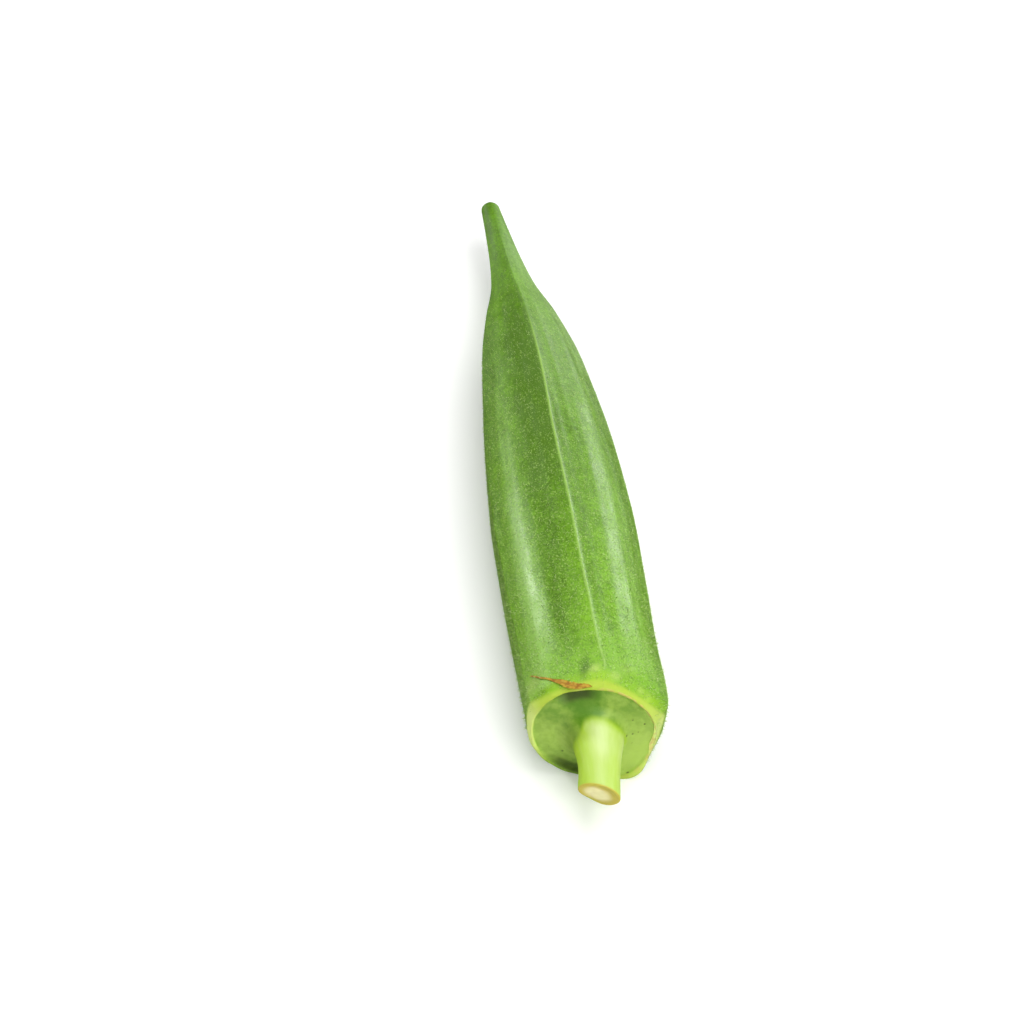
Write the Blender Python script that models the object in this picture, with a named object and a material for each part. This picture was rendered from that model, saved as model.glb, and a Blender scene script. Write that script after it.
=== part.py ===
"""Okra pod: one fresh pod lying on its side, with a shred of its dried calyx on the shoulder.

The pod lies along Y: the tip points to +Y, the cut stem to -Y, and one of its five main ridges is on
top. Sizes are in millimetres, and MM turns them into Blender's metres. "Along" is the distance from
the plane of the rim that stands round the stem end, positive towards the tip. "Around" is the angle
from straight up, in degrees, positive towards +X.
"""

import math

import bpy
import numpy as np

MM = 0.001

# Pod: the profile's points are (along, radius to a main ridge).
TIP_ALONG = 115.9
TIP_RADIUS = 1.45
TIP_DOME = 1.2
BODY_PROFILE = (
    (108.0, 1.95),
    (102.0, 2.45),
    (94.5, 3.4),
    (86.0, 5.25),
    (76.0, 7.25),
    (65.0, 8.7),
    (52.0, 9.85),
    (38.0, 10.35),
    (24.0, 10.15),
    (12.0, 9.9),
    (6.0, 10.05),
)
SHOULDER_PROFILE = ((3.4, 9.85), (1.7, 9.35), (0.6, 8.8))
RIM_PROFILE = ((-0.05, 8.4), (-0.2, 8.15), (0.05, 7.85))
SCAR_PROFILE = ((0.8, 7.6), (0.95, 7.2), (0.65, 6.5))
CAP_PROFILE = ((0.2, 5.6), (-0.2, 4.7), (-0.9, 4.0), (-2.2, 3.45))
STEM_PROFILE = ((-4.2, 3.0), (-7.0, 2.75), (-10.3, 2.65))

# Cross-section: five main ridges, with a low rib in the middle of each of the five faces.
RIDGES = 5
FACE_FLATNESS = ((0.0, 0.28), (30.0, 0.32), (70.0, 0.42), (100.0, 0.5))
RIB_HEIGHT = ((0.0, 0.0), (5.0, 0.015), (15.0, 0.03), (60.0, 0.02), (90.0, 0.0))
RIB_WIDTH = 9.0
LOBES_START = 7.6  # the stem scar inside the rim is round: the ridges start at this radius
LOBES_FULL = 9.9
RIM_LOBE_HEIGHT = 0.12  # one lobe of the rim stands out, low on the +X side
RIM_LOBE_AROUND = 145.0
RIM_LOBE_WIDTH = 26.0
RIM_LOBE_FROM = 6.0
RIM_LOBE_FULL = 8.0
RIM_LOBE_ENDS = 6.0
TWIST_AT_RIM = 5.0
TWIST_END = 75.0
TWIST_POWER = 1.3

# Underside: the face that the pod lies on is nearly flat, and touches the floor in one long patch.
AXIS_HEIGHT = 8.3
UNDERSIDE_FLATNESS = 0.88
UNDERSIDE_SPREAD = 50.0
UNDERSIDE_ALONG = ((0.0, 0.0), (8.0, 1.0), (70.0, 1.0), (90.0, 0.0))
FLOOR_EASE = 0.12

# Axis: how far it strays sideways (+X) and up (+Z) along the pod.
SIDE_BEND = (
    (-10.3, -0.55),
    (-3.0, 0.3),
    (0.0, 0.0),
    (4.0, 0.95),
    (12.0, 0.85),
    (60.0, 0.75),
    (85.0, 0.5),
    (116.0, -1.0),
)
RISE = ((-10.3, -0.9), (-3.0, -0.15), (0.0, 0.0), (24.0, 0.0), (54.0, -0.2), (86.0, -0.9), (116.0, -1.5))

# The rim slopes: its top and its -X side stand back towards the tip.
RIM_SLOPE_UP = 0.03
RIM_SLOPE_SIDE = -0.15

# How far along the pod the rim's slope reaches, and the oblique cut, which faces down and towards -X.
LEAN_STARTS = -6.0
LEAN_FULL_FROM = -2.0
LEAN_FULL_TO = 2.0
LEAN_ENDS = 24.0
CUT_SLOPE_SIDE = -0.55
CUT_SLOPE_UP = -0.3
CUT_STARTS = -4.2

# Dried shred of calyx: (along, around, half its width), from its loose end to the end on the rim.
SHRED_ROUTE = (
    (5.1, -57.0, 0.1),
    (3.9, -47.0, 0.15),
    (2.6, -37.0, 0.22),
    (1.7, -29.0, 0.5),
    (1.0, -21.0, 0.6),
    (0.4, -12.0, 0.4),
    (0.1, -5.0, 0.12),
)
SHRED_HALF_THICKNESS = 0.16
SHRED_LIFT = 0.5  # from the skin to the middle of the shred
SHRED_STATIONS = 19
SHRED_SIDES = 8

# Mesh.
COLUMNS = 40
ROW_STEP = 2.7
TIP_ROWS = 4
SHARP_EDGE = math.radians(40.0)

# Finishes.
POD_GREEN = (0.23, 0.44, 0.07, 1.0)
SKIN_ROUGHNESS = 0.5
SHRED_TAN = (0.45, 0.22, 0.06, 1.0)
SHRED_ROUGHNESS = 0.8


def clear_scene():
    """Remove every object that the file opened with."""
    for item in list(bpy.data.objects):
        bpy.data.objects.remove(item, do_unlink=True)


def smooth_step(value):
    """Ease from 0 to 1 while the value goes from 0 to 1."""
    eased = np.clip(value, 0.0, 1.0)
    return eased * eased * (3.0 - 2.0 * eased)


def smooth_through(knots, values, at):
    """Cubic through the knots that never swings past them.

    The slope at a knot is the harmonic mean of the slopes on its two sides, or zero where they turn.
    """
    steps = np.diff(knots)[:, None]
    slopes = np.diff(values, axis=0) / steps
    before, after = slopes[:-1], slopes[1:]
    same_way = before * after > 0.0
    total = np.where(same_way, before + after, 1.0)
    middle = np.where(same_way, 2.0 * before * after / total, 0.0)
    tangents = np.vstack([slopes[:1], middle, slopes[-1:]])
    span = np.clip(np.searchsorted(knots, at, side="right") - 1, 0, len(steps) - 1)
    share = (at - knots[span])[:, None] / steps[span]
    rest = 1.0 - share
    start = (1.0 + 2.0 * share) * values[span] + share * steps[span] * tangents[span]
    end = (1.0 + 2.0 * rest) * values[span + 1] - rest * steps[span] * tangents[span + 1]
    return rest**2 * start + share**2 * end


def along_curve(points, along):
    """Value of a curve given as (along, value) points, at any distance along the pod."""
    table = np.array(sorted(points))
    flat = np.ravel(np.clip(along, table[0, 0], table[-1, 0]))
    return smooth_through(table[:, 0], table[:, 1:], flat)[:, 0].reshape(np.shape(along))


def settle(height):
    """Heights once the pod has settled: flat on the floor below, and eased over a narrow band above it."""
    eased = np.maximum(height + FLOOR_EASE, 0.0) ** 2 / (4.0 * FLOOR_EASE)
    return np.where(height > FLOOR_EASE, height, eased)


def profile_rows():
    """(along, radius) of every row, from just behind the tip to the rim of the stem's cut."""
    turn = np.linspace(0.0, math.pi / 2, TIP_ROWS + 1)[1:]
    dome_along = TIP_ALONG - TIP_DOME * (1.0 - np.cos(turn))
    dome = np.column_stack([dome_along, TIP_RADIUS * np.sin(turn)])
    outline = BODY_PROFILE + SHOULDER_PROFILE + RIM_PROFILE + SCAR_PROFILE + CAP_PROFILE + STEM_PROFILE
    knots = np.vstack([dome[-1], np.array(outline)])
    lengths = np.hypot(*np.diff(knots, axis=0).T)
    distance = np.concatenate([[0.0], np.cumsum(lengths)])
    stops = [
        np.linspace(start, end, math.ceil((end - start) / ROW_STEP) + 1)[1:]
        for start, end in zip(distance, distance[1:])
    ]
    return np.vstack([dome, smooth_through(distance, knots, np.concatenate(stops))])


def section(along, around, radius):
    """Radius factor of the lobed cross-section: 1 on a main ridge, less on the faces between them."""
    ridge_step = 360.0 / RIDGES
    half_step = ridge_step / 2.0
    twist = TWIST_AT_RIM * np.clip(1.0 - along / TWIST_END, 0.0, 1.0) ** TWIST_POWER
    from_ridge = np.abs((around - twist + half_step) % ridge_step - half_step)
    flat_face = math.cos(math.radians(half_step)) / np.cos(np.radians(half_step - from_ridge))
    lobing = smooth_step((radius - LOBES_START) / (LOBES_FULL - LOBES_START))
    lobing = np.where(along > LEAN_ENDS, 1.0, lobing)
    from_bottom = np.abs(around % 360.0 - 180.0)
    underside = smooth_step(1.0 - from_bottom / UNDERSIDE_SPREAD) * along_curve(UNDERSIDE_ALONG, along)
    flatness = along_curve(FACE_FLATNESS, along)
    flatness = (flatness + (UNDERSIDE_FLATNESS - flatness) * underside) * lobing
    rib = along_curve(RIB_HEIGHT, along) * np.exp(-(((from_ridge - half_step) / RIB_WIDTH) ** 2))
    near_rim = smooth_step((radius - RIM_LOBE_FROM) / (RIM_LOBE_FULL - RIM_LOBE_FROM))
    near_rim = near_rim * smooth_step(1.0 - along / RIM_LOBE_ENDS)
    lobe = RIM_LOBE_HEIGHT * near_rim * np.exp(-(((around - RIM_LOBE_AROUND) / RIM_LOBE_WIDTH) ** 2))
    return 1.0 - flatness * (1.0 - flat_face) + rib * lobing * (1.0 - underside) + lobe


def skin_point(along, around, radius):
    """Points of the pod's skin: the lobed section carried along the bent axis, with the lean and the cut."""
    reach = radius * section(along, around, radius)
    side = reach * np.sin(np.radians(around))
    up = reach * np.cos(np.radians(around))
    lean = smooth_step((along - LEAN_STARTS) / (LEAN_FULL_FROM - LEAN_STARTS))
    lean = lean * smooth_step((LEAN_ENDS - along) / (LEAN_ENDS - LEAN_FULL_TO))
    cut = np.clip((CUT_STARTS - along) / (CUT_STARTS - STEM_PROFILE[-1][0]), 0.0, 1.0) ** 2
    slope = lean * (RIM_SLOPE_SIDE * side + RIM_SLOPE_UP * up)
    slope = slope + cut * (CUT_SLOPE_SIDE * side + CUT_SLOPE_UP * up)
    x = along_curve(SIDE_BEND, along) + side
    height = AXIS_HEIGHT + along_curve(RISE, along) + up
    return np.stack([x, along + slope, settle(height)], axis=-1)


def closed_tube(name, rings, start_tip=None, end_tip=None):
    """Mesh object of rings joined by quads; each end is a fan to its tip, or one flat face without one."""
    rows, columns = rings.shape[:2]
    points = list(rings.reshape(-1, 3))
    faces = []
    for row in range(rows - 1):
        for column in range(columns):
            beside = (column + 1) % columns
            faces.append(
                (
                    row * columns + column,
                    (row + 1) * columns + column,
                    (row + 1) * columns + beside,
                    row * columns + beside,
                )
            )
    for tip, first, turned in ((start_tip, 0, False), (end_tip, (rows - 1) * columns, True)):
        edge = [first + column for column in range(columns)]
        if turned:
            edge.reverse()
        if tip is None:
            faces.append(tuple(edge))
            continue
        points.append(tip)
        pole = len(points) - 1
        faces += [(pole, edge[column], edge[(column + 1) % columns]) for column in range(columns)]
    mesh = bpy.data.meshes.new(name)
    mesh.from_pydata([tuple(MM * float(value) for value in point) for point in points], [], faces)
    mesh.validate()
    mesh.shade_smooth()
    mesh.set_sharp_from_angle(angle=SHARP_EDGE)
    return bpy.data.objects.new(name, mesh)


def make_pod():
    """The whole pod: body, shoulder, rim, cap and cut stem, grown in one piece."""
    profile = profile_rows()
    around = np.arange(COLUMNS) * 360.0 / COLUMNS
    along = np.repeat(profile[:, :1], COLUMNS, axis=1)
    radius = np.repeat(profile[:, 1:], COLUMNS, axis=1)
    rings = skin_point(along, np.broadcast_to(around, along.shape), radius)
    tip = skin_point(np.array([TIP_ALONG]), np.array([0.0]), np.array([0.0]))[0]
    return closed_tube("okra_pod", rings, start_tip=tip)


def make_shred():
    """The dried shred: a flat strip, pointed at both ends, that follows the shoulder just clear of the skin."""
    route = np.array(SHRED_ROUTE)
    distance = np.linspace(0.0, 1.0, len(route))
    stations = smooth_through(distance, route, np.linspace(0.0, 1.0, SHRED_STATIONS))
    along, around, half_width = stations.T
    skin = along_curve(BODY_PROFILE + SHOULDER_PROFILE + RIM_PROFILE[:1], along)
    centre = skin_point(along, around, skin + SHRED_LIFT)
    outward = skin_point(along, around, skin + SHRED_LIFT + 1.0) - centre
    outward /= np.linalg.norm(outward, axis=1)[:, None]
    forward = np.gradient(centre, axis=0)
    across = np.cross(forward, outward)
    across /= np.linalg.norm(across, axis=1)[:, None]
    turn = np.arange(SHRED_SIDES) * math.tau / SHRED_SIDES
    wide = across[:, None, :] * half_width[:, None, None] * np.cos(turn)[:, None]
    thick = outward[:, None, :] * SHRED_HALF_THICKNESS * np.sin(turn)[:, None]
    rings = centre[:, None, :] + wide + thick
    return closed_tube("dried_calyx_shred", rings)


def add_material(item, name, colour, roughness):
    """Give the object its own Principled material."""
    material = bpy.data.materials.new(name)
    material.use_nodes = True
    shader = material.node_tree.nodes["Principled BSDF"]
    shader.inputs["Base Color"].default_value = colour
    shader.inputs["Roughness"].default_value = roughness
    shader.inputs["Metallic"].default_value = 0.0
    item.data.materials.append(material)


def centre_on_floor(items):
    """Shift the meshes so that the box round them all has its bottom centre at the origin."""
    corners = np.vstack([[tuple(corner) for corner in item.bound_box] for item in items])
    middle = (corners.min(axis=0) + corners.max(axis=0)) / 2.0
    for item in items:
        for vertex in item.data.vertices:
            vertex.co.x -= middle[0]
            vertex.co.y -= middle[1]


def main():
    """Build the pod and its shred in a collection of their own."""
    clear_scene()
    collection = bpy.data.collections.new("okra pod")
    bpy.context.scene.collection.children.link(collection)
    pod = make_pod()
    shred = make_shred()
    add_material(pod, "pod_skin", POD_GREEN, SKIN_ROUGHNESS)
    add_material(shred, "dried_calyx", SHRED_TAN, SHRED_ROUGHNESS)
    for item in (pod, shred):
        collection.objects.link(item)
    centre_on_floor((pod, shred))


main()
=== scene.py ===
"""Okra pod: one fresh pod on its side, with its fine hairs and a dried shred of calyx.

The pod lies along Y, tip at +Y and cut stem at -Y, with one of its five main crests on top. Sizes are in
millimetres, and MM turns them into metres. "Along" is the distance from the plane of the rim round the
stem end, positive towards the tip. "Around" is the angle from straight up in degrees, positive towards
+X. "Reach" is the distance over the skin from the rim's crest: negative on the body, positive on the
scar, the cap, the stem and its cut.
"""

import logging
import math
from dataclasses import dataclass, field, replace
from enum import Enum

import bpy
import numpy as np
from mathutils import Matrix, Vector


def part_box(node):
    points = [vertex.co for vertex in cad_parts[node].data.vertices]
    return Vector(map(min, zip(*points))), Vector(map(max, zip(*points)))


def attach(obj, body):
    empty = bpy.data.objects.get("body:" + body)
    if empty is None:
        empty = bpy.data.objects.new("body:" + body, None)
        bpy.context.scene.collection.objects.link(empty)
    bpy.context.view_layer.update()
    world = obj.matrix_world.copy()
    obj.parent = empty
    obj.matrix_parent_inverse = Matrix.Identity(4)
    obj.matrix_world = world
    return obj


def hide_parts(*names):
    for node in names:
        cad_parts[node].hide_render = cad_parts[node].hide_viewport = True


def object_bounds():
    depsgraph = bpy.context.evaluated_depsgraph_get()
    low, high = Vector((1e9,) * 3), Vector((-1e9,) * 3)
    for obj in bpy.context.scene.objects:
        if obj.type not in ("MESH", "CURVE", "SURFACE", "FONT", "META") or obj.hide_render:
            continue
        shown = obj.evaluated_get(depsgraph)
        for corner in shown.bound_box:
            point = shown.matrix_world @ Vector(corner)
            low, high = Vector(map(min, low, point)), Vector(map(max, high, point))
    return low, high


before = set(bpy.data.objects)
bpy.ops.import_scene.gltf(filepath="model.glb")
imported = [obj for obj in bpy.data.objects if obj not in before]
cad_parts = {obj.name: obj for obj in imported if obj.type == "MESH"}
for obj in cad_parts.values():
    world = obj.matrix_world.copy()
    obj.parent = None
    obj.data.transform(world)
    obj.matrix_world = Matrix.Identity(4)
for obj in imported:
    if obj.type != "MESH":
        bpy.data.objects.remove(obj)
CAD_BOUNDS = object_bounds()

MM = 0.001
TINY = 1e-9
FULL_TURN = 360.0
HALF_TURN = 180.0
POD_NODE = "okra_pod"
SHRED_NODE = "dried_calyx_shred"

log = logging.getLogger("okra_pod")

Array = np.ndarray
Socket = bpy.types.NodeSocket
Colour = tuple[float, float, float]
Curve = tuple[tuple[float, float], ...]  # (along or around, value) at each knot
Ease = tuple[float, float]  # where a weight starts to change and where that ends
Span = tuple[float, float, float, float]  # where a weight starts, is full, fades and ends
Waves = tuple[tuple[float, float, float], ...]  # (share, radians over one unit, phase) of each sine wave

BODY_FADE: Ease = (-2.2, -0.6)  # reach over which the body's ribs and crests die out above the rim


class Slot(Enum):
    """Names of the material slots."""

    SKIN = "pod_skin"
    CALYX = "dried_calyx"


# ---------------------------------------------------------------------------------------------------
# Curves and meshes


def smooth_step(value: Array) -> Array:
    """Ease from 0 to 1 while the value goes from 0 to 1: 3v^2 - 2v^3."""
    eased = np.clip(value, 0.0, 1.0)
    return eased * eased * (3.0 - 2.0 * eased)


def ease_in(value: Array, start: float, full: float) -> Array:
    """Weight that goes smoothly from 0 at start to 1 at full."""
    return smooth_step((value - start) / (full - start))


def ease_out(value: Array, fade: float, end: float) -> Array:
    """Weight that goes smoothly from 1 at fade to 0 at end."""
    return smooth_step((end - value) / (end - fade))


def window(value: Array, start: float, full: float, fade: float, end: float) -> Array:
    """Weight that eases in from start to full, stays at 1, and eases out from fade to end."""
    return ease_in(value, start, full) * ease_out(value, fade, end)


def bell(distance: Array, width: float) -> Array:
    """Bell curve that is 1 at no distance and falls off over the width: exp(-(d/w)^2)."""
    return np.exp(-((distance / width) ** 2))


def turn_between(around: Array, middle: float) -> Array:
    """Signed angle from the middle to around, from -180 to 180 degrees."""
    return (around - middle + HALF_TURN) % FULL_TURN - HALF_TURN


def waves(table: Waves, at: Array) -> Array:
    """Sum of sine waves: share * sin(count * at + phase)."""
    return sum(share * np.sin(count * at + phase) for share, count, phase in table)


def unit(vectors: Array) -> Array:
    """Vectors of the same directions, each 1 long."""
    return vectors / np.maximum(np.linalg.norm(vectors, axis=-1, keepdims=True), TINY)


def smooth_through(knots: Array, values: Array, at: Array) -> Array:
    """Cubic through the knots that never swings past them.

    The slope at a knot is the harmonic mean of the slopes on its two sides, or zero where they turn.

    Args:
        knots: rising positions of the knots.
        values: one row of values for each knot.
        at: positions to work out.

    Returns:
        One row of values for each position.
    """
    steps = np.diff(knots)[:, None]
    slopes = np.diff(values, axis=0) / steps
    before, after = slopes[:-1], slopes[1:]
    same_way = before * after > 0.0
    total = np.where(same_way, before + after, 1.0)
    middle = np.where(same_way, 2.0 * before * after / total, 0.0)
    tangents = np.vstack([slopes[:1], middle, slopes[-1:]])
    span = np.clip(np.searchsorted(knots, at, side="right") - 1, 0, len(steps) - 1)
    share = (at - knots[span])[:, None] / steps[span]
    rest = 1.0 - share
    start = (1.0 + 2.0 * share) * values[span] + share * steps[span] * tangents[span]
    end = (1.0 + 2.0 * rest) * values[span + 1] - rest * steps[span] * tangents[span + 1]
    return rest**2 * start + share**2 * end


def on_curve(curve: Curve, at: Array) -> Array:
    """Value of a curve at each place, held level beyond its ends.

    Args:
        curve: the curve's knots, in any order.
        at: along or around at each place.

    Returns:
        One value for each place.
    """
    table = np.array(sorted(curve))
    flat = np.ravel(np.clip(at, table[0, 0], table[-1, 0]))
    return smooth_through(table[:, 0], table[:, 1:], flat)[:, 0].reshape(np.shape(at))


def new_mesh(name: str, points: Array, faces: list[list[int]]) -> bpy.types.Mesh:
    """Mesh of points and faces.

    Args:
        name: the mesh's name.
        points: one point in metres a row.
        faces: the corner numbers of each face.

    Returns:
        The mesh.
    """
    mesh = bpy.data.meshes.new(name)
    mesh.from_pydata(points.tolist(), [], faces)
    return mesh


def new_piece(name: str, mesh: bpy.types.Mesh, material: bpy.types.Material) -> bpy.types.Object:
    """Smooth-shaded object of the mesh, in its material, linked to the scene at the origin.

    Args:
        name: the piece's name.
        mesh: its mesh, already in place.
        material: its finish.

    Returns:
        The piece.
    """
    mesh.materials.append(material)
    mesh.shade_smooth()
    piece = bpy.data.objects.new(name, mesh)
    bpy.context.scene.collection.objects.link(piece)
    return piece


def grid_faces(rows: int, columns: int, closed: bool) -> Array:
    """Quads that join each row of points to the next.

    Args:
        rows: how many rows there are.
        columns: how many points each row has.
        closed: whether each row's last point is joined to its first.

    Returns:
        Four corner numbers for each quad.
    """
    across = columns if closed else columns - 1
    row, column = np.meshgrid(np.arange(rows - 1), np.arange(across), indexing="ij")
    beside = (column + 1) % columns
    corners = (row * columns + column, (row + 1) * columns + column)
    corners += ((row + 1) * columns + beside, row * columns + beside)
    return np.stack(corners, axis=-1).reshape(-1, 4)


def closed_skin(name: str, rings: Array, poles: tuple[Array, Array]) -> bpy.types.Mesh:
    """Closed mesh of rings joined by quads, with a fan of triangles at each end.

    Args:
        name: the mesh's name.
        rings: points in metres, rows by columns by 3.
        poles: the points that close the first ring and the last.

    Returns:
        The mesh. Its points are the rings' in order, then the two poles.
    """
    rows, columns = rings.shape[:2]
    column = np.arange(columns)
    beside = (column + 1) % columns
    first, last = rows * columns, rows * columns + 1
    last_row = (rows - 1) * columns
    fan_in = np.stack([np.full(columns, first), column, beside], axis=-1)
    fan_out = np.stack([np.full(columns, last), last_row + beside, last_row + column], axis=-1)
    faces = grid_faces(rows, columns, closed=True).tolist() + fan_in.tolist() + fan_out.tolist()
    mesh = new_mesh(name, np.vstack([rings.reshape(-1, 3), *poles]), faces)
    mesh.validate()
    return mesh


def add_weight(mesh: bpy.types.Mesh, name: str, values: Array) -> None:
    """Store one value for each of the mesh's points, as a float attribute."""
    layer = mesh.attributes.new(name, "FLOAT", "POINT")
    layer.data.foreach_set("value", values.astype(np.float32))


def add_ring_weights(mesh: bpy.types.Mesh, weights: dict[str, Array]) -> None:
    """Store a closed skin's weights, rows by columns for each name; each pole takes its ring's mean."""
    for name, values in weights.items():
        add_weight(mesh, name, np.concatenate([values.ravel(), [values[0].mean(), values[-1].mean()]]))


def outward_normals(rings: Array) -> Array:
    """Unit normals of a ring grid: the cross product of its steps from ring to ring and round a ring."""
    around = np.roll(rings, -1, axis=1) - np.roll(rings, 1, axis=1)
    return unit(np.cross(np.gradient(rings, axis=0), around))


# ---------------------------------------------------------------------------------------------------
# Materials


class Sum(Enum):
    """The sums that a finish's nodes do."""

    ADD = "ADD"
    LESS = "SUBTRACT"
    TIMES = "MULTIPLY"
    LARGER = "MAXIMUM"


@dataclass(frozen=True)
class Pattern:
    """Cloudy noise: its blots' size in millimetres, its detail, and its scale on each axis."""

    size: float
    detail: float = 3.0
    scale: tuple[float, float, float] = (1.0, 1.0, 1.0)  # under 1 draws the blots out along that axis


@dataclass
class Paintbox:
    """Short ways to add the nodes that a finish is made of."""

    name: str
    tree: bpy.types.NodeTree = field(init=False)
    material: bpy.types.Material = field(init=False)
    shader: bpy.types.Node = field(init=False)
    noises: dict[Pattern, Socket] = field(init=False, default_factory=dict)

    def __post_init__(self) -> None:
        """Make the material with its Principled shader."""
        self.material = bpy.data.materials.new(self.name)
        self.material.use_nodes = True
        self.tree = self.material.node_tree
        self.shader = self.tree.nodes["Principled BSDF"]

    def feed(self, target: Socket, value: Socket | float | Colour) -> None:
        """Give a socket a link, a number or a colour.

        Args:
            target: the socket.
            value: what it gets.
        """
        if isinstance(value, Socket):
            self.tree.links.new(value, target)
        elif isinstance(value, tuple):
            target.default_value = (*value, 1.0)
        else:
            target.default_value = value

    def weight(self, name: str) -> Socket:
        """Value of one of the mesh's float attributes.

        Args:
            name: the attribute's name.

        Returns:
            The value.
        """
        node = self.tree.nodes.new("ShaderNodeAttribute")
        node.attribute_name = name
        return node.outputs["Fac"]

    def place(self, scale: tuple[float, float, float] = (1.0, 1.0, 1.0)) -> Socket:
        """Object coordinates, scaled on each axis.

        Args:
            scale: the three scales.

        Returns:
            The scaled coordinates.
        """
        coordinates = self.tree.nodes.new("ShaderNodeTexCoord")
        mapping = self.tree.nodes.new("ShaderNodeMapping")
        mapping.inputs["Scale"].default_value = scale
        self.feed(mapping.inputs["Vector"], coordinates.outputs["Object"])
        return mapping.outputs["Vector"]

    def noise(self, pattern: Pattern) -> Socket:
        """Noise from 0 to 1, whose nodes are made once for each pattern.

        Args:
            pattern: the noise's sizes.

        Returns:
            The noise.
        """
        if pattern not in self.noises:
            node = self.tree.nodes.new("ShaderNodeTexNoise")
            node.inputs["Scale"].default_value = 1.0 / (pattern.size * MM)
            node.inputs["Detail"].default_value = pattern.detail
            self.feed(node.inputs["Vector"], self.place(pattern.scale))
            self.noises[pattern] = node.outputs["Fac"]
        return self.noises[pattern]

    def dots(self, size: float) -> Socket:
        """Distance to the nearest of many scattered points.

        Args:
            size: millimetres from one point to the next.

        Returns:
            The distance, as a share of the size.
        """
        node = self.tree.nodes.new("ShaderNodeTexVoronoi")
        node.inputs["Scale"].default_value = 1.0 / (size * MM)
        self.feed(node.inputs["Vector"], self.place())
        return node.outputs["Distance"]

    def span(self, value: Socket, limits: Ease | Span) -> Socket:
        """Value mapped smoothly from one range to another, and held at the ends beyond it.

        Args:
            value: the value.
            limits: its low and high limit, then what they become, if that isn't 0 and 1.

        Returns:
            The mapped value.
        """
        node = self.tree.nodes.new("ShaderNodeMapRange")
        node.interpolation_type = "SMOOTHSTEP"
        for socket, number in zip(node.inputs[1:5], (*limits, 0.0, 1.0)):
            socket.default_value = number
        self.feed(node.inputs["Value"], value)
        return node.outputs["Result"]

    def work_out(self, kind: Sum, first: Socket | float, second: Socket | float) -> Socket:
        """Result of one sum of two numbers.

        Args:
            kind: which sum.
            first: the first number.
            second: the second.

        Returns:
            The result.
        """
        node = self.tree.nodes.new("ShaderNodeMath")
        node.operation = kind.value
        self.feed(node.inputs[0], first)
        self.feed(node.inputs[1], second)
        return node.outputs["Value"]

    def add(self, first: Socket | float, second: Socket | float) -> Socket:
        """First plus second."""
        return self.work_out(Sum.ADD, first, second)

    def less(self, first: Socket | float, second: Socket | float) -> Socket:
        """First less second."""
        return self.work_out(Sum.LESS, first, second)

    def times(self, first: Socket | float, second: Socket | float) -> Socket:
        """First times second."""
        return self.work_out(Sum.TIMES, first, second)

    def mix(self, weight: Socket | float, under: Socket | Colour, over: Socket | Colour) -> Socket:
        """Colour that goes from under to over with the weight.

        Args:
            weight: 0 for under, 1 for over.
            under: the first colour.
            over: the second.

        Returns:
            The mixed colour.
        """
        node = self.tree.nodes.new("ShaderNodeMix")
        node.data_type = "RGBA"
        self.feed(node.inputs["Factor"], weight)
        self.feed(node.inputs[6], under)
        self.feed(node.inputs[7], over)
        return node.outputs[2]

    def bump(self, height: Socket, depth: float, strength: float = 1.0) -> None:
        """Bump on the shader's normal.

        Args:
            height: the bump's height, from 0 to 1.
            depth: millimetres from 0 to 1.
            strength: share of the bump that shows.
        """
        node = self.tree.nodes.new("ShaderNodeBump")
        node.inputs["Distance"].default_value = depth * MM
        node.inputs["Strength"].default_value = strength
        self.feed(node.inputs["Height"], height)
        self.set(Normal=node.outputs["Normal"])

    def set(self, **values: Socket | float | Colour) -> None:
        """Set the shader's own sockets, named with _ for a space."""
        for name, value in values.items():
            self.feed(self.shader.inputs[name.replace("_", " ")], value)


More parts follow.
